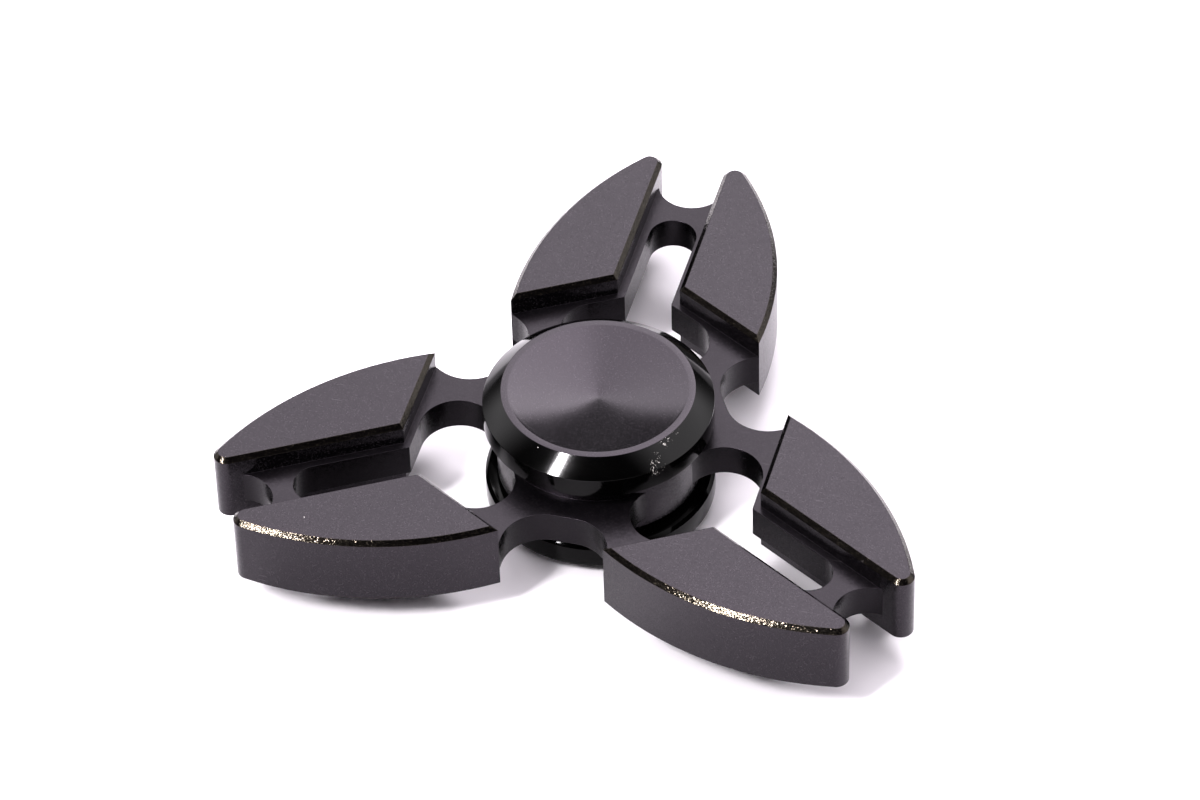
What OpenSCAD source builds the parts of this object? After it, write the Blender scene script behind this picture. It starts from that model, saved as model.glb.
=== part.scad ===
// Three-arm fidget spinner: a one-piece milled frame that turns on a shielded ball bearing,
// pinched between two turned finger caps.
// The origin is the centre of the bearing. +Z is the spin axis, and the first arm points along +Y.

/* [Frame] */
// Thickness of the claws
claw_t = 7; // [6:0.1:8]
// Thickness of the thin plate between the claws
plate_t = 3; // [2.4:0.1:3.6]
// Chamfer on every claw edge
claw_break = 0.4; // [0.2:0.05:0.6]
// Radius of a claw's curved outer edge
arc_r = 28.3; // [28:0.1:28.6]
// Place of that curve's centre, outwards along the arm
arc_out = 14.2; // [14:0.1:14.4]
// Place of that curve's centre, across the arm
arc_across = 17.1; // [17:0.1:17.2]
// Radius of a claw's rounded tip
tip_r = 1.1; // [0.9:0.1:1.3]
// Gap between the two claws of an arm
claw_gap = 5.6; // [5.4:0.1:5.8]
// Distance from the spin axis to the claws' flat inner ends
claw_start = 15.6; // [15.5:0.1:15.9]
// Distance from the spin axis to the flat sides of an arm's pocket
pocket_out = 15; // [14.8:0.1:15.1]
// Radius of the pocket's two round ends
pocket_r = 3.3; // [3.25:0.05:3.4]
// Width of the slot between the claws
slot_w = 4.2; // [4:0.1:4.6]
// Distance from the spin axis to the slot's outer end
slot_end = 26.65; // [25:0.1:27]
// Radius of the notch between the two claw tips
notch_r = 3; // [2.9:0.1:3.1]
// Distance from the spin axis to that notch's centre
notch_out = 31.5; // [31.4:0.1:32]
// Width of the scallop between two arms
scallop_w = 9.1; // [8.9:0.1:9.1]
// Corner radius of that scallop
scallop_r = 3.6; // [3:0.1:4]
// Distance from the spin axis to the scallop's floor
scallop_start = 11.05; // [10.8:0.05:11.4]
// Radius of the hub around the bearing
hub_r = 8.8; // [8.75:0.05:8.85]
// Height of the hub
hub_h = 4.8; // [4.8:0.05:5]
// Chamfer at both mouths of the bearing's seat
seat_break = 0.15; // [0.1:0.05:0.2]
// How far the frame is pressed on past the middle of the bearing
frame_lift = 0.18; // [0:0.02:0.2]

/* [Finger caps] */
// Widest radius of a cap
cap_r = 9.85; // [9.5:0.05:10.2]
// Outer radius of the flat rim round the dish
rim_r = 8.25; // [8.1:0.05:8.6]
// Radius of the dish that the finger rests in
dish_r = 7.67; // [7:0.01:7.9]
// Radius of the arc that the dish follows
dish_arc_r = 127; // [110:1:150]
// How far past the spin axis the centre of that arc lies, which makes the dish nearly a cone
dish_arc_offset = 12.2; // [10:0.1:14]
// Height of the rim above the bearing's middle
rim_z = 6.38; // [6.2:0.02:6.6]
// Height at which the bevel meets the upright band
band_top_z = 5.05; // [4.8:0.01:5.3]
// Height of the cap's underside
under_z = 2.93; // [2.9:0.01:3.1]
// Chamfer at the band's lower edge
cap_break = 0.3; // [0.1:0.05:0.4]
// Radius of the screw thread that joins the two caps
thread_r = 2; // [1.5:0.25:2]

/* [Bearing] */
// Bore of the inner ring
bearing_bore = 6.35; // [6.2:0.05:6.4]
// Outside diameter of the outer ring
bearing_od = 12.7; // [12.6:0.05:12.8]
// Width of both rings
bearing_w = 4.762; // [4.742:0.01:4.782]
// Diameter of a ball
ball_d = 1.5875; // [1.5:0.0125:1.6]
// Number of balls
ball_count = 10; // [6:1:10]
// Radius of the inner ring's shoulders
inner_land_r = 4.2; // [4.15:0.01:4.25]
// Radius of the outer ring's shoulders
outer_land_r = 5.32; // [5.3:0.01:5.4]
// Thickness of the sheet that the cage and the shields are pressed from
sheet_t = 0.13; // [0.1:0.01:0.15]

/* [Hidden] */
$fn = 128;

arm_count = 3;
arm_step = 360 / arm_count;
first_arm = 90;
reach = 40;          // longer than any arm, for cutters
bite = 1;            // how far one solid runs into its neighbour
seat_r = bearing_od / 2;

// A claw's rounded tip touches its slot side and its curved outer edge.
claw_side = claw_gap / 2;
end_break = claw_break - 0.02; // a hair less, so that the claw's edges meet in clean corners
tip_across = claw_side + tip_r;
tip_out = arc_out + sqrt(pow(arc_r - tip_r, 2) - pow(arc_across + tip_across, 2));
tip_turn = 90 + atan2(arc_across + tip_across, tip_out - arc_out);
web_out = 31;        // the plate between the claws ends inside them, just short of their tips
web_w = claw_gap + 2 * bite;

// A pocket's round ends touch its flat sides and just graze the hub.
side_angle = 30;
graze = 0.03;
lobe_dist = hub_r + pocket_r - graze;
lobe_angle = side_angle - acos((pocket_out - pocket_r) / lobe_dist);
pocket_tip = pocket_out / cos(side_angle);

// Race grooves: a little wider than a ball, with a running clearance at their floors.
ball_r = ball_d / 2;
pitch_r = (bearing_bore + bearing_od) / 4;
groove_r = ball_r * 1.04;
groove_play = 0.012;
groove_shift = groove_r - ball_r - groove_play;
ring_break = 0.12;

// The shields sit on ledges in the outer ring, and wire clips hold them there.
shield_z = 1.95;
ledge_r = 5.8;
clip_wire_r = 0.1;
clip_groove_depth = 0.13;
clip_z = shield_z + sheet_t + clip_wire_r;
clip_gap = 30;
shield_bore_r = 4.08;
labyrinth_r = 4;
labyrinth_z = 1.82;
joggle = 0.08;
shield_play = 0.02;

// The cage is a pair of pressed ribbons that clasp the balls.
cage_inner_r = 4.28;
cage_outer_r = 5.24;
pocket_play = 0.04;

// Both caps have a shoulder that clamps the inner ring.
shoulder_r = 3.9;
ring_face_z = bearing_w / 2;
post_r = bearing_bore / 2 - 0.01;
post_end_z = -2.1;
stud_play = 0.05;
stud_end_z = 2.3;
socket_end_z = 3;
dish_arc_z = rim_z + sqrt(pow(dish_arc_r, 2) - pow(dish_r + dish_arc_offset, 2));
dish_steps = 6;      // slim cones that follow the arc to within 0.002 mm

anodised = [0.11, 0.105, 0.115];
cap_black = [0.06, 0.06, 0.065];
steel = [0.72, 0.73, 0.75];
brass_tone = [0.62, 0.6, 0.56];

module each_arm() {
    for (i = [0:arm_count - 1])
        rotate([0, 0, first_arm + i * arm_step])
            children();
}

module each_gap() {
    for (i = [0:arm_count - 1])
        rotate([0, 0, first_arm + (i + 0.5) * arm_step])
            children();
}

// Half of a slab's cross-section, from -reach up to x = 0, with both corners chamfered.
module chamfered_half(h, c) {
    polygon([
        [-reach * 2, -h / 2], [-c, -h / 2], [0, -h / 2 + c],
        [0, h / 2 - c], [-c, h / 2], [-reach * 2, h / 2]
    ]);
}

// A half-space on the side away from the normal at angle a, with its face at distance d and edge chamfer c.
module chamfered_side(a, d, c) {
    rotate([0, 0, a])
        translate([d, reach, 0])
            rotate([90, 0, 0])
                linear_extrude(2 * reach)
                    chamfered_half(claw_t, c);
}

// Profile of a chamfered disc of radius r, to be spun.
module disc_profile(r, h, c) {
    polygon([
        [0, -h / 2], [r - c, -h / 2], [r, -h / 2 + c],
        [r, h / 2 - c], [r - c, h / 2], [0, h / 2]
    ]);
}

// One claw, on the arm's left-hand side.
module claw() {
    difference() {
        intersection() {
            translate([arc_out, -arc_across, 0])
                rotate_extrude($fn = 256)
                    disc_profile(arc_r, claw_t, claw_break);
            chamfered_side(180 + side_angle, -claw_start, end_break);
            chamfered_side(-90, -claw_side, claw_break);
        }
        translate([tip_out, tip_across, -claw_t])
            linear_extrude(2 * claw_t)
                polygon([
                    [0, 0], [0, -reach], [reach, -reach],
                    [reach * sin(tip_turn), -reach * cos(tip_turn)]
                ]);
    }
    translate([tip_out, tip_across, 0])
        rotate([0, 0, -90])
            rotate_extrude(angle = tip_turn, $fn = 64)
                disc_profile(tip_r, claw_t, claw_break);
}

module plate_blank() {
    circle(r = claw_start / cos(side_angle), $fn = 6);
    for (i = [0:arm_count - 1])
        rotate(i * arm_step)
            translate([0, -web_w / 2])
                square([web_out, web_w]);
}

// The pocket between the hub and an arm's claws, with round ends.
module pocket() {
    for (s = [-1, 1])
        rotate(s * lobe_angle)
            translate([lobe_dist, 0])
                circle(r = pocket_r);
    difference() {
        polygon([
            [0, 0],
            lobe_dist * [cos(lobe_angle), sin(lobe_angle)],
            lobe_dist * [cos(lobe_angle), sin(lobe_angle)]
                + pocket_r * [cos(side_angle), sin(side_angle)],
            [pocket_tip, 0],
            lobe_dist * [cos(lobe_angle), -sin(lobe_angle)]
                + pocket_r * [cos(side_angle), -sin(side_angle)],
            lobe_dist * [cos(lobe_angle), -sin(lobe_angle)]
        ]);
        circle(r = hub_r);
    }
}

module slot() {
    translate([pocket_out - bite, -slot_w / 2])
        square([slot_end - slot_w / 2 - pocket_out + bite, slot_w]);
    translate([slot_end - slot_w / 2, 0])
        circle(r = slot_w / 2);
}

module scallop() {
    corner = scallop_w / 2 - scallop_r;
    for (s = [-1, 1])
        translate([scallop_start + scallop_r, s * corner])
            circle(r = scallop_r);
    translate([scallop_start, -corner])
        square([scallop_r, 2 * corner]);
    translate([scallop_start + scallop_r, -scallop_w / 2])
        square([reach, scallop_w]);
}

module plate() {
    difference() {
        rotate(first_arm)
            plate_blank();
        each_arm() {
            pocket();
            slot();
            translate([notch_out, 0])
                circle(r = notch_r);
        }
        each_gap()
            scallop();
    }
}

// The through seat for the bearing, chamfered at both mouths.
module seat() {
    cylinder(r = seat_r, h = 2 * hub_h, center = true);
    for (s = [0, 180])
        rotate([s, 0, 0])
            translate([0, 0, hub_h / 2 - seat_break])
                cylinder(r1 = seat_r, r2 = seat_r + 2 * seat_break, h = 2 * seat_break);
}

module spinner_frame() {
    color(anodised)
        translate([0, 0, frame_lift])
            difference() {
                union() {
                    translate([0, 0, -plate_t / 2])
                        linear_extrude(plate_t)
                            plate();
                    cylinder(r = hub_r, h = hub_h, center = true);
                    each_arm() {
                        claw();
                        mirror([0, 1, 0])
                            claw();
                    }
                }
                seat();
            }
}

// Height of the dish at radius r, on an arc with its centre on the far side of the spin axis.
function dish_z(r) = dish_arc_z - sqrt(pow(dish_arc_r, 2) - pow(r + dish_arc_offset, 2));

// The outside of a cap, from the spin axis out and back: shoulder, underside, band, bevel, rim, dish.
module cap_shell() {
    rotate_extrude()
        polygon(concat(
            [
                [0, ring_face_z], [shoulder_r, ring_face_z], [shoulder_r, under_z],
                [cap_r - cap_break, under_z], [cap_r, under_z + cap_break],
                [cap_r, band_top_z], [rim_r, rim_z]
            ],
            [for (i = [dish_steps:-1:0]) let (r = dish_r * i / dish_steps) [r, dish_z(r)]]
        ));
}

module top_cap() {
    color(cap_black)
        difference() {
            union() {
                cap_shell();
                translate([0, 0, post_end_z])
                    cylinder(r = post_r, h = ring_face_z - post_end_z + cap_break);
            }
            translate([0, 0, post_end_z - bite])
                cylinder(r = thread_r, h = socket_end_z - post_end_z + bite);
        }
}

module bottom_cap() {
    color(cap_black)
        union() {
            rotate([180, 0, 0])
                cap_shell();
            translate([0, 0, -ring_face_z - cap_break])
                cylinder(r = thread_r - stud_play, h = stud_end_z + ring_face_z + cap_break);
        }
}

module bearing_outer_ring() {
    color(steel)
        rotate_extrude()
            difference() {
                polygon([
                    [outer_land_r, -shield_z], [ledge_r, -shield_z], [ledge_r, -ring_face_z],
                    [seat_r - ring_break, -ring_face_z], [seat_r, -ring_face_z + ring_break],
                    [seat_r, ring_face_z - ring_break], [seat_r - ring_break, ring_face_z],
                    [ledge_r, ring_face_z], [ledge_r, shield_z], [outer_land_r, shield_z]
                ]);
                translate([pitch_r - groove_shift, 0])
                    circle(r = groove_r);
                for (s = [-1, 1])
                    translate([ledge_r - bite, s * clip_z - clip_wire_r])
                        square([bite + clip_groove_depth, 2 * clip_wire_r]);
            }
}

module bearing_inner_ring() {
    bore_r = bearing_bore / 2;
    color(steel)
        rotate_extrude()
            difference() {
                polygon([
                    [bore_r + ring_break, -ring_face_z], [labyrinth_r, -ring_face_z],
                    [labyrinth_r, -labyrinth_z], [inner_land_r, -labyrinth_z],
                    [inner_land_r, labyrinth_z], [labyrinth_r, labyrinth_z],
                    [labyrinth_r, ring_face_z], [bore_r + ring_break, ring_face_z],
                    [bore_r, ring_face_z - ring_break], [bore_r, -ring_face_z + ring_break]
                ]);
                translate([pitch_r + groove_shift, 0])
                    circle(r = groove_r);
            }
}

module at_ball(i) {
    rotate([0, 0, first_arm + (i - 1) * 360 / ball_count])
        translate([pitch_r, 0, 0])
            children();
}

module ball(i) {
    color(steel)
        at_ball(i)
            sphere(d = ball_d, $fn = 48);
}

// One pressed ribbon: flat between the balls, and domed over each of them.
module cage_half() {
    shell_r = ball_r + pocket_play;
    difference() {
        intersection() {
            union() {
                cylinder(r = pitch_r + shell_r, h = sheet_t);
                for (i = [1:ball_count])
                    at_ball(i)
                        sphere(r = shell_r + sheet_t, $fn = 48);
            }
            difference() {
                cylinder(r = cage_outer_r, h = ball_d);
                translate([0, 0, -bite])
                    cylinder(r = cage_inner_r, h = ball_d + 2 * bite);
            }
        }
        for (i = [1:ball_count])
            at_ball(i)
                sphere(r = shell_r, $fn = 48);
    }
}

module cage_upper() {
    color(brass_tone)
        cage_half();
}

module cage_lower() {
    color(brass_tone)
        mirror([0, 0, 1])
            cage_half();
}

// A pressed washer, flat where it is clamped, that steps down just inside the outer ring's shoulder.
module shield() {
    flange_r = outer_land_r - shield_play;
    inner_z = shield_z - joggle;
    rotate_extrude()
        polygon([
            [shield_bore_r, inner_z], [flange_r - 2 * joggle - sheet_t, inner_z],
            [flange_r, shield_z], [ledge_r - shield_play, shield_z],
            [ledge_r - shield_play, shield_z + sheet_t], [flange_r - joggle, shield_z + sheet_t],
            [flange_r - 3 * joggle - sheet_t, inner_z + sheet_t],
            [shield_bore_r, inner_z + sheet_t]
        ]);
}

module top_shield() {
    color(steel)
        shield();
}

module bottom_shield() {
    color(steel)
        rotate([180, 0, 0])
            shield();
}

// An open wire ring that springs into the outer ring's groove.
module shield_clip() {
    rotate([0, 0, first_arm + clip_gap / 2])
        rotate_extrude(angle = 360 - clip_gap)
            translate([ledge_r + clip_groove_depth - clip_wire_r, clip_z])
                circle(r = clip_wire_r, $fn = 24);
}

module top_shield_clip() {
    color(steel)
        shield_clip();
}

module bottom_shield_clip() {
    color(steel)
        rotate([180, 0, 0])
            shield_clip();
}

spinner_frame();
top_cap();
bottom_cap();
bearing_outer_ring();
bearing_inner_ring();
for (i = [1:ball_count])
    ball(i);
cage_upper();
cage_lower();
top_shield();
bottom_shield();
top_shield_clip();
bottom_shield_clip();
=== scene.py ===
"""Looks, light and camera for the three-arm fidget spinner.

Lengths are in metres, in the frame of the CAD model: the origin is the centre of the bearing, +Z is the spin
axis and the first arm points along +Y. Only the profiles of the finger caps are in millimetres."""
import math

import bpy
from mathutils import Matrix, Vector


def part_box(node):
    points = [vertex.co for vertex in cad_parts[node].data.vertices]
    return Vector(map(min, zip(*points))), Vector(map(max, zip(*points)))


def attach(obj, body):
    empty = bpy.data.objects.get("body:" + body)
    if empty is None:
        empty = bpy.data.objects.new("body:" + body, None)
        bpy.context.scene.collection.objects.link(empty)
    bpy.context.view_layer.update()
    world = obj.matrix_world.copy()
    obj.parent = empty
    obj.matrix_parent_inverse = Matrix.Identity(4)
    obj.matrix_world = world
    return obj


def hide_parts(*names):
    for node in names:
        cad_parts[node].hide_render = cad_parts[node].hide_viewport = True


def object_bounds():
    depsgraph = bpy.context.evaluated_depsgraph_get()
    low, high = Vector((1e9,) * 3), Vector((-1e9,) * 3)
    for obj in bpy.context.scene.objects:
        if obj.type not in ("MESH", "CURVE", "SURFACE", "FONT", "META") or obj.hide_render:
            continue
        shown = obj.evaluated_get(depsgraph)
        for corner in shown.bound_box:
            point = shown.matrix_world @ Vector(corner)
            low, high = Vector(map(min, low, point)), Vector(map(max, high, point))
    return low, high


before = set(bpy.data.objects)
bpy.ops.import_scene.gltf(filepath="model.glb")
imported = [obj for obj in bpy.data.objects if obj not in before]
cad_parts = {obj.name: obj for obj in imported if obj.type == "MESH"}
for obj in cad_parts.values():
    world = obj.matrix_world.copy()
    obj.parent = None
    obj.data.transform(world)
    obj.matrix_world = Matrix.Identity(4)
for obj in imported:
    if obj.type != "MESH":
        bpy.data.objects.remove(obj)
cad_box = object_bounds()
scene = bpy.context.scene

MM = 0.001
FLOOR_Z = cad_box[0].z
CLAW_TOP_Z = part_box("spinner_frame")[1].z


# ---------------------------------------------------------------- node helpers
def add(tree, kind, inputs=None, **settings):
    """A new node with its settings, and its inputs set to values or linked to sockets."""
    node = tree.nodes.new(kind)
    for name, value in settings.items():
        setattr(node, name, value)
    for name, value in (inputs or {}).items():
        if isinstance(value, bpy.types.NodeSocket):
            tree.links.new(value, node.inputs[name])
        else:
            node.inputs[name].default_value = value
    return node


def calc(tree, operation, *values):
    """The result of a Math node."""
    return add(tree, "ShaderNodeMath", dict(enumerate(values)), operation=operation).outputs[0]


def ramp(tree, value, low, high, to_low=0.0, to_high=1.0):
    """value's place between low and high, eased, as a number from to_low to to_high."""
    inputs = {"Value": value, "From Min": low, "From Max": high, "To Min": to_low, "To Max": to_high}
    return add(tree, "ShaderNodeMapRange", inputs, interpolation_type="SMOOTHSTEP").outputs["Result"]


def noise(tree, where, scale, detail, rough=0.5):
    """Soft random patches, about scale of them to the metre."""
    inputs = {"Vector": where, "Scale": scale, "Detail": detail, "Roughness": rough}
    return add(tree, "ShaderNodeTexNoise", inputs).outputs["Fac"]


def mix_colour(tree, share, low, high):
    """low where share is 0, high where it is 1, and a mixture between."""
    return add(tree, "ShaderNodeMix", {0: share, 6: low, 7: high}, data_type="RGBA").outputs[2]


# ---------------------------------------------------------------- camera
# It looks down from in front, a little from the right, at the spin axis level with the tops of the claws.
CAM_AZIMUTH = math.radians(16.384)
CAM_ELEVATION = math.radians(44.383)
CAM_ROLL = math.radians(-1.674)
CAM_DISTANCE = 494.546 * MM
CAM_SLIDE = 0.101 * MM      # to the right in the picture
CAM_RISE = 0.891 * MM       # up in the picture
CAM_LENS = 174.975          # focal length, in millimetres
CAM_SENSOR = 36             # width, in millimetres

back = Vector((
    math.sin(CAM_AZIMUTH) * math.cos(CAM_ELEVATION),
    -math.cos(CAM_AZIMUTH) * math.cos(CAM_ELEVATION),
    math.sin(CAM_ELEVATION),
))
level = Vector((math.cos(CAM_AZIMUTH), math.sin(CAM_AZIMUTH), 0))
upward = back.cross(level)
across = level * math.cos(CAM_ROLL) + upward * math.sin(CAM_ROLL)
upward = back.cross(across)
place = Vector((0, 0, CLAW_TOP_Z)) + back * CAM_DISTANCE + across * CAM_SLIDE + upward * CAM_RISE

camera_data = bpy.data.cameras.new("camera")
camera_data.lens = CAM_LENS
camera_data.sensor_width = CAM_SENSOR
camera_data.clip_start, camera_data.clip_end = 0.01, 20
camera = bpy.data.objects.new("camera", camera_data)
scene.collection.objects.link(camera)
camera.matrix_world = Matrix.Translation(place) @ Matrix((across, upward, back)).transposed().to_4x4()
scene.camera = camera
scene.view_settings.view_transform = "Standard"

# ---------------------------------------------------------------- sky
# A dark studio: a wide soft light high behind the object, paler walls beside it, a narrow strip light high in
# front to the left, and two dimmer panels, low in front and overhead, for whoever looks from behind or above.
# Only reflections show it. Where the camera looks past the floor it sees plain white.
FILL_LEVEL = 0.015
WALL_LEVEL = 2.6
SOFTBOX_RIGHT_LEVEL, SOFTBOX_LEFT_LEVEL = 7.5, 5.15
STRIP_LEVEL = 330.0
FRONT_LEVEL = 1.8
OVERHEAD_LEVEL = 4.2
WHITE_LEVEL = 1.6
SKY_TINT = (1.0, 0.965, 1.0, 1)
# Where each of them starts and ends, and how softly, in degrees
WALL_GAP_TURN = (60, 150, 12)
SOFTBOX_TURN, SOFTBOX_HEIGHT = (62, 158, 8), (34.7, 84, 2)
STRIP_TURN, STRIP_HEIGHT = (-126, -117.2, 0.6), (40, 62, 0.6)
FRONT_HEIGHT = (8, 31, 3)
TO_DEGREES = 180 / math.pi

world = bpy.data.worlds.new("studio")
scene.world = world
world.use_nodes = True
sky = world.node_tree
sky.nodes.clear()
direction = add(sky, "ShaderNodeTexCoord").outputs["Generated"]
dx, dy, dz = add(sky, "ShaderNodeSeparateXYZ", {0: direction}).outputs
height = calc(sky, "MULTIPLY", calc(sky, "ARCSINE", dz), TO_DEGREES)        # above the horizon
turn = calc(sky, "MULTIPLY", calc(sky, "ARCTAN2", dy, dx), TO_DEGREES)      # from +X towards +Y
rearward = calc(sky, "ADD", dy, calc(sky, "MULTIPLY", dx, 0.05))


def window(value, start, end, soft):
    """1 between start and end, fading to 0 over soft on both sides."""
    rise = ramp(sky, value, start - soft, start + soft)
    fall = ramp(sky, value, end - soft, end + soft, 1.0, 0.0)
    return calc(sky, "MULTIPLY", rise, fall)


# The walls fade out towards the front, and are darker near the floor and below the soft light.
walls = ramp(sky, rearward, -0.38, 0.06, 0.0, WALL_LEVEL)
walls = calc(sky, "MULTIPLY", walls, ramp(sky, height, 0, 22, 0.12, 1.0))
gap = calc(sky, "MULTIPLY", window(turn, *WALL_GAP_TURN), 0.86)
walls = calc(sky, "MULTIPLY", walls, calc(sky, "SUBTRACT", 1.0, gap))
softbox = calc(sky, "MULTIPLY", window(turn, *SOFTBOX_TURN), window(height, *SOFTBOX_HEIGHT))
softbox = calc(sky, "MULTIPLY", softbox, ramp(sky, turn, 96, 112, SOFTBOX_RIGHT_LEVEL, SOFTBOX_LEFT_LEVEL))
strip = calc(sky, "MULTIPLY", window(turn, *STRIP_TURN), window(height, *STRIP_HEIGHT))
front = calc(sky, "MULTIPLY", ramp(sky, dy, -0.46, -0.70, 0.0, FRONT_LEVEL), window(height, *FRONT_HEIGHT))
overhead = ramp(sky, height, 64, 74, 0.0, OVERHEAD_LEVEL)
glow = calc(sky, "MAXIMUM", calc(sky, "ADD", walls, FILL_LEVEL), softbox)
glow = calc(sky, "MAXIMUM", glow, calc(sky, "MAXIMUM", front, overhead))
glow = calc(sky, "ADD", glow, calc(sky, "MULTIPLY", strip, STRIP_LEVEL))
studio = add(sky, "ShaderNodeBackground", {"Color": SKY_TINT, "Strength": glow})
white = add(sky, "ShaderNodeBackground", {"Color": (1, 1, 1, 1), "Strength": WHITE_LEVEL})
seen = add(sky, "ShaderNodeLightPath").outputs["Is Camera Ray"]
both = add(sky, "ShaderNodeMixShader", {0: seen, 1: studio.outputs[0], 2: white.outputs[0]})
add(sky, "ShaderNodeOutputWorld", {"Surface": both.outputs[0]})
world.cycles_visibility.diffuse = False
world.cycles.sampling_method = "MANUAL"
world.cycles.sample_map_resolution = 2048


# ---------------------------------------------------------------- lamps
def area_light(name, location, size, power, colour):
    """A lamp that faces the origin. It gives diffuse light only: the camera and reflections don't show it."""
    data = bpy.data.lights.new(name, "AREA")
    data.shape = "RECTANGLE"
    data.size, data.size_y = size
    data.energy = power
    data.color = colour
    light = bpy.data.objects.new(name, data)
    light.location = location
    light.rotation_euler = (Vector((0, 0, 0)) - Vector(location)).to_track_quat("-Z", "Y").to_euler()
    light.visible_glossy = False
    light.visible_camera = False
    scene.collection.objects.link(light)


area_light("overhead", (0.0, 0.0, 0.8), (1.6, 1.6), 22, (1, 0.95, 1))
area_light("key", (-0.30, -0.48, 0.70), (0.10, 0.20), 9, (1, 0.97, 0.99))
area_light("rear", (-0.10, 0.57, 0.69), (0.45, 0.34), 7.5, (1, 0.95, 1))


# ---------------------------------------------------------------- materials
# What the anodised skins tint their reflections with
VIOLET = (0.96, 0.83, 0.99, 1)
GOLD = (1.0, 0.86, 0.66, 1)
# Colours of the skins and of what lies on them
FRAME_BLACK = (0.0005, 0.0004, 0.0006, 1)
FRAME_SCUFF = (0.02, 0.018, 0.02, 1)
FRAME_DUST = (0.5, 0.48, 0.46, 1)
CAP_BLACK, CAP_SOFT_BLACK = (0.0002, 0.0002, 0.0002, 1), (0.0005, 0.0005, 0.0005, 1)
CAP_DUST = (0.55, 0.53, 0.5, 1)
DISH_BLACK, DISH_PIT = (0.0004, 0.00035, 0.0005, 1), (0.013, 0.0115, 0.0135, 1)
DISH_DUST = (0.6, 0.58, 0.56, 1)
# The second paper colour is a painted shade that the paper turns to in reflections far from the object.
PAPER, PAPER_REFLECTED_SHADE = (0.86, 0.84, 0.87, 1), (0, 0, 0, 1)
# Where the top cap was knocked: radius, height, angle in degrees and spread
NICKS = (
    (8.40 * MM, 6.30 * MM, -33, 0.8 * MM), (8.30 * MM, 6.35 * MM, -24, 0.5 * MM),
    (9.75 * MM, 5.10 * MM, -45, 1.0 * MM), (9.00 * MM, 5.80 * MM, -42, 0.5 * MM),
)
RELIEF = 0.01 * MM              # depth of the finest surface grain
SOFT_EDGE = 0.06 * MM           # radius that the frame's edges are shaded with
GROOVES_PER_METRE = 9000.0      # along a radius of the dish


def material(name):
    """A new empty material, its node tree and the place on the object that it shades."""
    made = bpy.data.materials.new(name)
    made.use_nodes = True
    tree = made.node_tree
    tree.nodes.clear()
    return made, tree, add(tree, "ShaderNodeTexCoord").outputs["Object"]


def finish_material(tree, inputs):
    shader = add(tree, "ShaderNodeBsdfPrincipled", inputs)
    add(tree, "ShaderNodeOutputMaterial", {"Surface": shader.outputs[0]})


def uneven(tree, cloud, low, high):
    """A roughness that wanders between low and high from patch to patch of a cloud noise."""
    return ramp(tree, cloud, 0.3, 0.7, low, high)


def bump(tree, strength, relief):
    """The surface normal over a fine relief."""
    inputs = {"Strength": strength, "Distance": RELIEF, "Height": relief}
    return add(tree, "ShaderNodeBump", inputs).outputs[0]


def specks(tree, where, cell, size, share):
    """1 on dust specks of about size metres, in that share of the cells of a grid of cell metres."""
    spot = add(tree, "ShaderNodeTexVoronoi", {"Vector": where, "Scale": 1 / cell})
    draw = add(tree, "ShaderNodeSeparateXYZ", {0: spot.outputs["Color"]}).outputs[0]
    chosen = calc(tree, "LESS_THAN", draw, share)
    disc = ramp(tree, spot.outputs["Distance"], 0.5 * size / cell, 0.8 * size / cell, 1.0, 0.0)
    return calc(tree, "MULTIPLY", disc, chosen)


def facets(tree, where, size, tilt):
    """A surface normal that leans its own way on each grain of that size: mostly a little, seldom by tilt."""
    grains = add(tree, "ShaderNodeTexVoronoi", {"Vector": where, "Scale": 1 / size}).outputs["Color"]
    chance = add(tree, "ShaderNodeTexWhiteNoise", {"Vector": grains}).outputs["Value"]
    rare = calc(tree, "MULTIPLY", calc(tree, "POWER", chance, 3.0), 1.4 * tilt)
    reach = calc(tree, "ADD", rare, 0.6 * tilt)
    lean = add(tree, "ShaderNodeVectorMath", {0: grains, 1: (0.5, 0.5, 0.5)}, operation="SUBTRACT").outputs[0]
    lean = add(tree, "ShaderNodeVectorMath", {0: lean, "Scale": reach}, operation="SCALE").outputs[0]
    edge = add(tree, "ShaderNodeBevel", {"Radius": SOFT_EDGE}, samples=6).outputs[0]
    total = add(tree, "ShaderNodeVectorMath", {0: edge, 1: lean}, operation="ADD").outputs[0]
    return add(tree, "ShaderNodeVectorMath", {0: total}, operation="NORMALIZE").outputs[0]


def anodised_frame(name, index, rough, tint, grain, tilt, grit):
    """Black anodised aluminium with grains that glitter where a light catches them, and with scuffs and dust.
    rough is the least and greatest roughness, grain the size of a grain, and grit how pale the pits are."""
    made, tree, where = material(name)
    dust = specks(tree, where, 2.6 * MM, 0.07 * MM, 0.15)
    drawn_out = {"Vector": where, "Rotation": (0, 0, 0.5), "Scale": (0.09, 1, 1)}
    along = add(tree, "ShaderNodeMapping", drawn_out).outputs[0]
    scuff = ramp(tree, noise(tree, along, 3600, 2), 0.64, 0.74)
    scuff = calc(tree, "MULTIPLY", scuff, ramp(tree, noise(tree, where, 110, 1), 0.56, 0.68))
    pits = ramp(tree, noise(tree, where, 7000, 1), 0.52, 0.72)
    colour = mix_colour(tree, pits, FRAME_BLACK, (grit, 0.9 * grit, grit, 1))
    colour = mix_colour(tree, scuff, colour, FRAME_SCUFF)
    finish_material(tree, {
        "Base Color": mix_colour(tree, dust, colour, FRAME_DUST),
        "Roughness": uneven(tree, noise(tree, where, 260, 4), *rough),
        "Normal": facets(tree, where, grain, tilt), "IOR": index, "Specular Tint": tint,
    })
    return made


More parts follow.
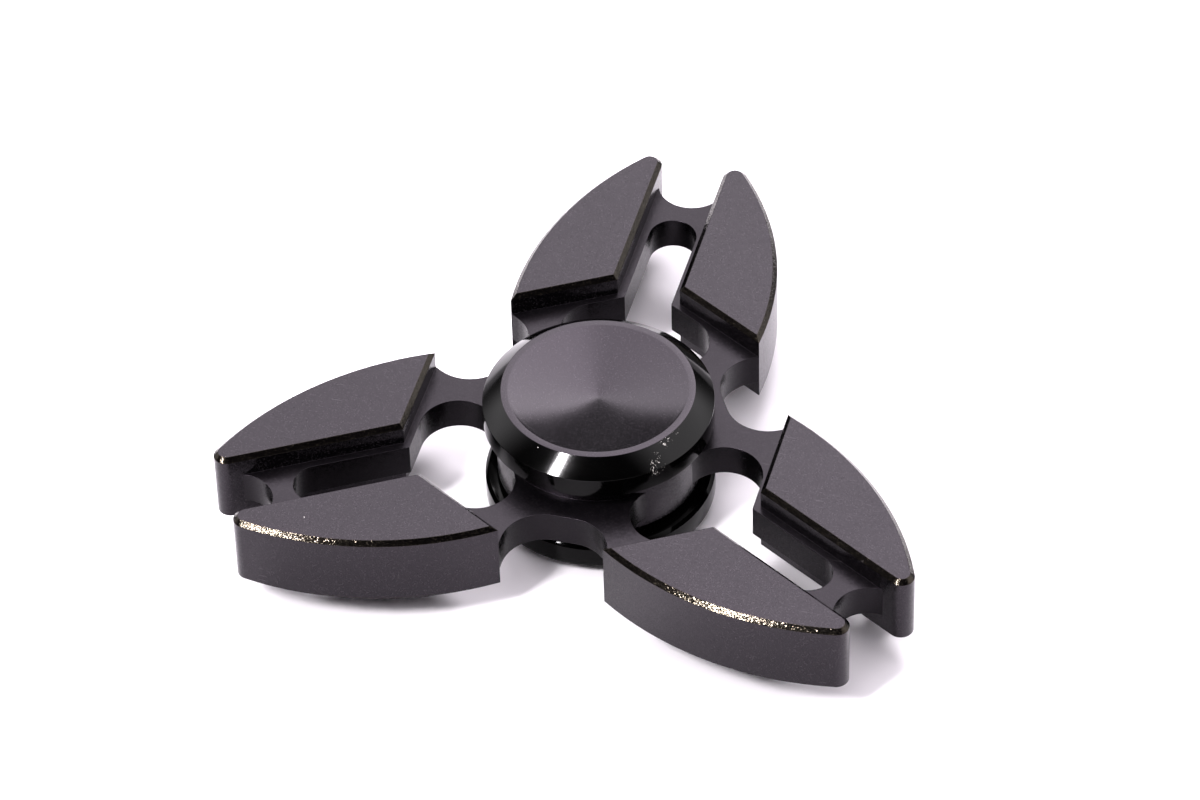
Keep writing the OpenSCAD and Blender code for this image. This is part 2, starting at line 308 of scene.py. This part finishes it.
def polished_cap(name, index):
    """Glossy black anodise with dust on it, and bare nicks where the edges of the top cap were knocked."""
    made, tree, where = material(name)
    cloud = noise(tree, where, 180, 4)
    bright = specks(tree, where, 1.6 * MM, 0.07 * MM, 0.25)
    chips = ramp(tree, noise(tree, where, 5200, 3, 0.6), 0.60, 0.66)
    for radius, z, degrees, spread in NICKS:
        angle = math.radians(degrees)
        spot = (radius * math.cos(angle), radius * math.sin(angle), z)
        away = add(tree, "ShaderNodeVectorMath", {0: where, 1: spot}, operation="DISTANCE").outputs["Value"]
        nick = calc(tree, "MULTIPLY", chips, ramp(tree, away, 0.3 * spread, spread, 1.0, 0.0))
        bright = calc(tree, "MAXIMUM", bright, nick)
    colour = mix_colour(tree, cloud, CAP_BLACK, CAP_SOFT_BLACK)
    rough = uneven(tree, cloud, 0.07, 0.12)
    finish_material(tree, {
        "Base Color": mix_colour(tree, bright, colour, CAP_DUST),
        "Roughness": calc(tree, "MAXIMUM", rough, calc(tree, "MULTIPLY", bright, 0.5)),
        "Normal": bump(tree, 0.05, noise(tree, where, 6000, 2)), "IOR": index,
    })
    return made


def turned_dish():
    """Satin lathe-turned face: fine concentric grooves spread the highlight across them."""
    made, tree, where = material("turned_black_anodise")
    x, y, _ = add(tree, "ShaderNodeSeparateXYZ", {0: where}).outputs
    radius = calc(tree, "SQRT", calc(tree, "ADD", calc(tree, "MULTIPLY", x, x), calc(tree, "MULTIPLY", y, y)))
    cuts = {"W": calc(tree, "MULTIPLY", radius, GROOVES_PER_METRE), "Scale": 1.0, "Detail": 2.0}
    grooves = add(tree, "ShaderNodeTexNoise", cuts, noise_dimensions="1D").outputs["Fac"]
    relief = calc(tree, "ADD", grooves, calc(tree, "MULTIPLY", noise(tree, where, 9000, 2), 0.7))
    pits = ramp(tree, noise(tree, where, 8000, 1), 0.52, 0.72)
    dust = specks(tree, where, 2.2 * MM, 0.08 * MM, 0.3)
    colour = mix_colour(tree, pits, DISH_BLACK, DISH_PIT)
    around = add(tree, "ShaderNodeTangent", direction_type="RADIAL", axis="Z").outputs[0]
    finish_material(tree, {
        "Base Color": mix_colour(tree, dust, colour, DISH_DUST),
        "Roughness": uneven(tree, noise(tree, where, 200, 4), 0.11, 0.14),
        "Normal": bump(tree, 0.12, relief), "Tangent": around,
        "Anisotropic": 0.6, "Anisotropic Rotation": 0.25, "IOR": 1.35, "Specular Tint": VIOLET,
    })
    return made


def steel(name, tone, rough):
    """Bare steel in patches of that tone and a darker one. rough is its least and greatest roughness."""
    made, tree, where = material(name)
    cloud = noise(tree, where, 500, 4)
    dark = tuple(0.86 * c for c in tone[:3]) + (1,)
    finish_material(tree, {
        "Base Color": mix_colour(tree, cloud, dark, tone), "Metallic": 1.0,
        "Roughness": uneven(tree, cloud, *rough), "Normal": bump(tree, 0.06, noise(tree, where, 4000, 2)),
    })
    return made


FRAME_SKIN = anodised_frame(
    "blasted_black_anodise",
    index=1.305, rough=(0.21, 0.23), tint=VIOLET, grain=0.09 * MM, tilt=0.08, grit=0.012,
)
PLATE_EDGE = anodised_frame(
    "milled_black_anodise",
    index=1.2, rough=(0.21, 0.23), tint=VIOLET, grain=0.09 * MM, tilt=0.07, grit=0.003,
)
PLATE_SKIN = anodised_frame(
    "floor_milled_black_anodise",
    index=1.285, rough=(0.30, 0.34), tint=VIOLET, grain=0.09 * MM, tilt=0.08, grit=0.005,
)
CHAMFER = anodised_frame(
    "chamfered_black_anodise",
    index=1.39, rough=(0.13, 0.15), tint=GOLD, grain=0.062 * MM, tilt=0.19, grit=0.0,
)
CAP_GLOSS = polished_cap("polished_black_anodise", 1.27)
CAP_BAND = polished_cap("fine_turned_black_anodise", 1.16)
CAP_DISH = turned_dish()
RING_STEEL = steel("ground_steel", (0.58, 0.57, 0.56, 1), (0.16, 0.24))
BALL_STEEL = steel("lapped_steel", (0.66, 0.65, 0.64, 1), (0.04, 0.08))
CAGE_STEEL = steel("pressed_strip", (0.60, 0.58, 0.54, 1), (0.24, 0.34))
SHIELD_STEEL = steel("rolled_sheet", (0.60, 0.60, 0.60, 1), (0.22, 0.32))


def coat(node_name, *skins):
    """Gives a CAD piece its materials, in the order of their slots, and returns its mesh."""
    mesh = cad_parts[node_name].data
    mesh.materials.clear()
    for skin in skins:
        mesh.materials.append(skin)
    return mesh


# The frame's claws have one skin, and its plate's edge, its chamfers and its plate's faces have others.
EDGE_SLOT, CHAMFER_SLOT, PLATE_SLOT = 1, 2, 3
PLATE_REACH = 1.52 * MM     # half the plate's thickness and a little over
mesh = coat("spinner_frame", FRAME_SKIN, PLATE_EDGE, CHAMFER, PLATE_SKIN)
middle_z = sum(corner.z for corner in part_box("spinner_frame")) / 2
for face in mesh.polygons:
    on_plate = max(abs(mesh.vertices[v].co.z - middle_z) for v in face.vertices) < PLATE_REACH
    flatness = abs(face.normal.z)
    if flatness < 0.3 and on_plate:
        face.material_index = EDGE_SLOT
    elif 0.6 < flatness < 0.8:
        face.material_index = CHAMFER_SLOT
    elif flatness > 0.9 and on_plate:
        face.material_index = PLATE_SLOT

BALLS = 10
for ring in ("bearing_outer_ring", "bearing_inner_ring"):
    coat(ring, RING_STEEL)
for number in range(1, BALLS + 1):
    coat(f"ball_{number}", BALL_STEEL)
for half in ("cage_upper", "cage_lower"):
    coat(half, CAGE_STEEL)
for cover in ("top_shield", "bottom_shield", "top_shield_clip", "bottom_shield_clip"):
    coat(cover, SHIELD_STEEL)


# ---------------------------------------------------------------- finger caps
SEGMENTS = 256
ROUND_STEPS = 4
DISH_STEPS = 40
GLOSS, DISH, BAND = 0, 1, 2     # material slots
SHARP = 1e-6                    # a corner with a shorter cut than this, in millimetres, gets no arc
ON_AXIS = 1e-7                  # a point with a smaller radius than this, in millimetres, lies on the axis


def rounded(corners):
    """The points of a turned profile, with an arc in place of each corner but the first and last. A corner is
    (r, z, radius of its arc, slot of the run after it), and each point comes with its slot."""
    path = []
    for i, (r, z, ease, slot) in enumerate(corners):
        here = Vector((r, z))
        before = Vector(corners[i - 1][:2]) - here
        after = Vector(corners[(i + 1) % len(corners)][:2]) - here
        longest = min(before.length, after.length) * 0.45
        before.normalize()
        after.normalize()
        half = before.angle(after) / 2
        cut = min(longest, ease / math.tan(half))
        if i == 0 or i == len(corners) - 1 or cut < SHARP:
            path.append((here, slot))
            continue
        centre = here + (before + after).normalized() * (cut / math.cos(half))
        spoke, last = here + before * cut - centre, here + after * cut - centre
        sweep = math.atan2(spoke.cross(last), spoke.dot(last))
        for step in range(ROUND_STEPS + 1):
            angle = sweep * step / ROUND_STEPS
            turned = Vector((
                spoke.x * math.cos(angle) - spoke.y * math.sin(angle),
                spoke.x * math.sin(angle) + spoke.y * math.cos(angle),
            ))
            path.append((centre + turned, slot))
    return path


def lathe(name, path, skins, flip):
    """A closed solid turned about Z from a profile that starts and ends on the axis. flip mirrors it."""
    sign = -1 if flip else 1
    verts, rows = [], []
    for point, _ in path:
        r, z = point.x * MM, sign * point.y * MM
        first = len(verts)
        if point.x < ON_AXIS:
            verts.append((0, 0, z))
        else:
            for k in range(SEGMENTS):
                angle = 2 * math.pi * k / SEGMENTS
                verts.append((r * math.cos(angle), r * math.sin(angle), z))
        rows.append(range(first, len(verts)))
    faces, slots = [], []
    for i in range(len(path) - 1):
        low, high = rows[i], rows[i + 1]
        for k in range(SEGMENTS):
            n = (k + 1) % SEGMENTS
            if len(low) == 1:
                face = [low[0], high[n], high[k]]
            elif len(high) == 1:
                face = [low[k], low[n], high[0]]
            else:
                face = [low[k], low[n], high[n], high[k]]
            faces.append(face[::-1] if flip else face)
            slots.append(path[i][1])
    mesh = bpy.data.meshes.new(name)
    mesh.from_pydata(verts, [], faces)
    for skin in skins:
        mesh.materials.append(skin)
    mesh.polygons.foreach_set("material_index", slots)
    mesh.shade_smooth()
    mesh.update()
    made = bpy.data.objects.new(name, mesh)
    scene.collection.objects.link(made)
    weigh = made.modifiers.new("even_normals", "WEIGHTED_NORMAL")
    weigh.weight = 100
    return made


# Radii and heights of the caps, in millimetres
CAP_R, RIM_R, DISH_R = 9.85, 8.25, 7.67
RIM_Z, BAND_TOP_Z, UNDER_Z = 6.38, 5.05, 2.93
CAP_BREAK = 0.3             # bevel under the band
SHOULDER_R, RING_FACE_Z = 3.9, 2.381
POST_R, POST_END_Z = 3.165, -2.1
SOCKET_R, SOCKET_END_Z = 2.0, 3.0
STUD_R, STUD_END_Z = 1.95, 2.3
DISH_ARC_R = 127.0          # radius of the arc that the dish is turned from
DISH_ARC_OFFSET = 12.2      # how far past the axis the arc's centre lies
DISH_TIP_R = 0.25           # rounding of the dish's lowest point
LIP_GAP = 0.02              # least step from the lip's arc to the dish's first point
OUTSIDE = [
    (SHOULDER_R, RING_FACE_Z, 0.03, GLOSS), (SHOULDER_R, UNDER_Z, 0.03, GLOSS),
    (CAP_R - CAP_BREAK, UNDER_Z, 0.04, BAND), (CAP_R, UNDER_Z + CAP_BREAK, 0.04, BAND),
    (CAP_R, BAND_TOP_Z, 0.07, GLOSS), (RIM_R, RIM_Z, 0.05, DISH),
]
TOP_INSIDE = [
    (0, SOCKET_END_Z, 0, BAND), (SOCKET_R, SOCKET_END_Z, 0.02, BAND), (SOCKET_R, POST_END_Z, 0.05, BAND),
    (POST_R, POST_END_Z, 0.05, GLOSS), (POST_R, RING_FACE_Z, 0.03, GLOSS),
]
BOTTOM_INSIDE = [
    (0, -STUD_END_Z, 0, BAND), (STUD_R, -STUD_END_Z, 0.15, BAND), (STUD_R, RING_FACE_Z, 0.03, GLOSS),
]


def dish_path():
    """The dish from its lip to the axis: a slight arc, nearly a cone, with a small round tip."""
    centre_z = RIM_Z + math.sqrt(DISH_ARC_R ** 2 - (DISH_R + DISH_ARC_OFFSET) ** 2)
    path = []
    for step in range(DISH_STEPS + 1):
        r = DISH_R * (1 - step / DISH_STEPS)
        eased = math.hypot(r, DISH_TIP_R) - DISH_TIP_R * (1 - r / DISH_R)
        z = centre_z - math.sqrt(DISH_ARC_R ** 2 - (eased + DISH_ARC_OFFSET) ** 2)
        path.append((Vector((r, z)), DISH))
    return path


def cap_path(inner):
    """The whole profile: from the axis at the end of the socket or stud, out round the cap, into its dish."""
    into_dish = (DISH_R - 0.4, RIM_Z - 0.1, 0, DISH)    # only aims the arc at the lip, and is dropped again
    path = rounded(inner + OUTSIDE + [(DISH_R, RIM_Z, 0.05, DISH), into_dish])[:-1]
    lip = path[-1][0]
    return path + [(point, slot) for point, slot in dish_path() if point.x < lip.x - LIP_GAP]


for cap_name, node_name, inside, flip in (
    ("finger_cap_top", "top_cap", TOP_INSIDE, False),
    ("finger_cap_bottom", "bottom_cap", BOTTOM_INSIDE, True),
):
    cap = lathe(cap_name, cap_path(inside), (CAP_GLOSS, CAP_DISH, CAP_BAND), flip)
    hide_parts(node_name)
    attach(cap, "core")

# ---------------------------------------------------------------- floor
FLOOR_HALF = 6.0
PAPER_FADE = 80 * MM        # where the reflected paper starts to get darker
PAPER_DARKEST_REACH = 140 * MM       # where it is at its darkest
corners = [(x * FLOOR_HALF, y * FLOOR_HALF, FLOOR_Z) for x, y in ((-1, -1), (1, -1), (1, 1), (-1, 1))]
floor_mesh = bpy.data.meshes.new("floor")
floor_mesh.from_pydata(corners, [], [(0, 1, 2, 3)])
floor = bpy.data.objects.new("floor", floor_mesh)
scene.collection.objects.link(floor)

# White paper. In reflections alone it is painted darker away from the object: a painted shade, not a sheet
# ending on a dark table.
paper, paper_tree, where = material("white_paper")
distance = add(paper_tree, "ShaderNodeVectorMath", {0: where}, operation="LENGTH").outputs["Value"]
mirrored = add(paper_tree, "ShaderNodeLightPath").outputs["Is Glossy Ray"]
dim = calc(paper_tree, "MULTIPLY", mirrored, ramp(paper_tree, distance, PAPER_FADE, PAPER_DARKEST_REACH, 0.0, 0.75))
paper_colour = mix_colour(paper_tree, dim, PAPER, PAPER_REFLECTED_SHADE)
finish_material(paper_tree, {"Base Color": paper_colour, "Roughness": 0.8, "Specular IOR Level": 0.0})
floor_mesh.materials.append(paper)
